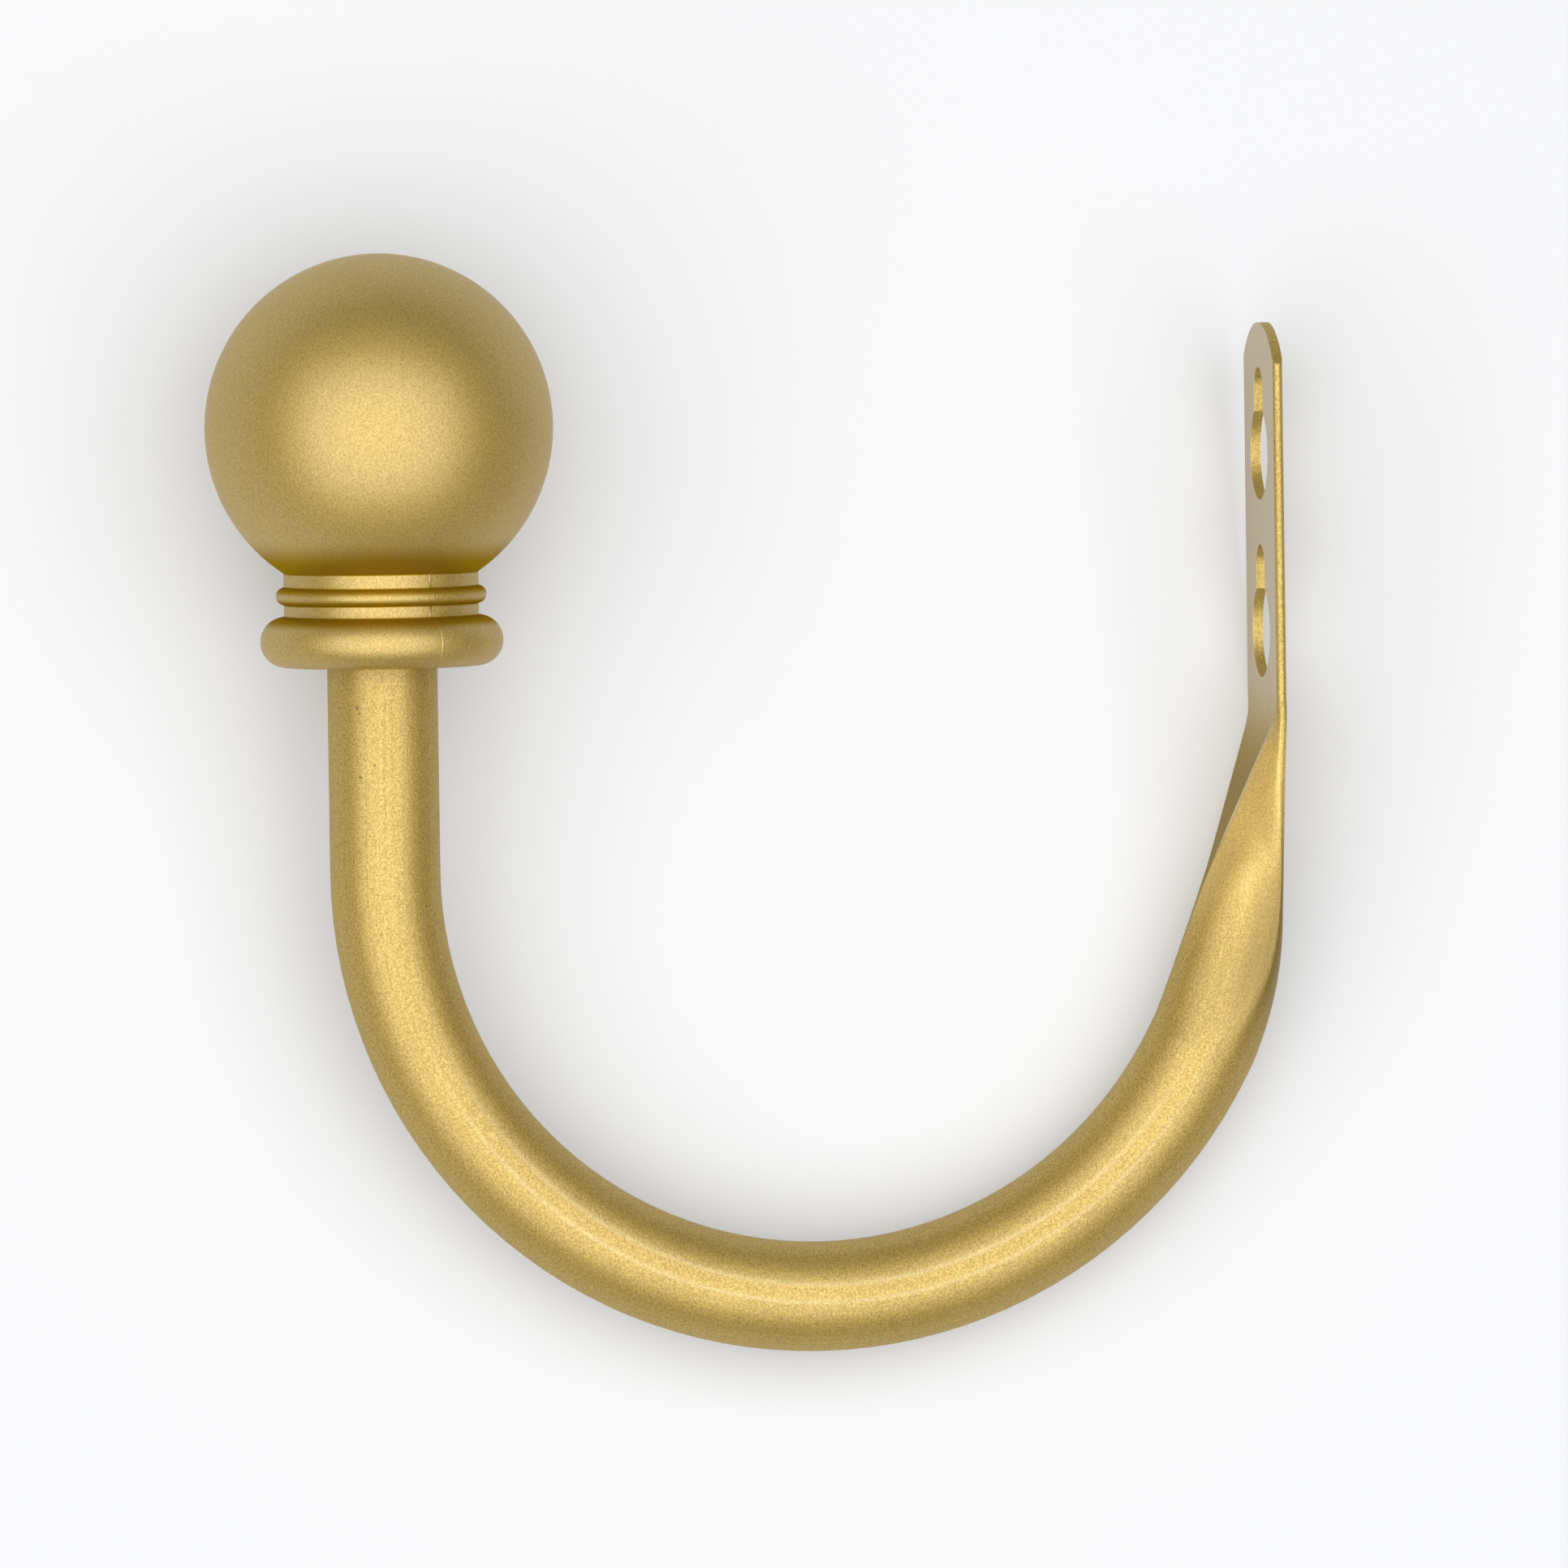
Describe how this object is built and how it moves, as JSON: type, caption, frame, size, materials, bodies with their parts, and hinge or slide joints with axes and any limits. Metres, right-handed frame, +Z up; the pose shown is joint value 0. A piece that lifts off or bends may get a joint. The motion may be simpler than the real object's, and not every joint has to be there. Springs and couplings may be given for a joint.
{
  "type": "curtain holdback",
  "caption": "U-shaped curtain holdback: a bent tube with a ball finial on its free end and a flattened wall strap with keyhole slots, which keeps a drawn curtain back.",
  "frame": {"origin": "on the wall, midway between the centres of the two keyholes' round entries", "axes": "+Y points into the wall, +Z up along the strap, X sideways along the wall; the part stands out towards -Y"},
  "size_m": [0.0338, 0.1045, 0.1076],
  "materials": {
    "tube_paint": "satin metallic gold paint",
    "finial_paint": "satin metallic gold paint on a moulding"
  },
  "bodies": {
    "root": {"bent_tube": "tube_paint", "ball_finial": "finial_paint"}
  },
  "joints": []
}
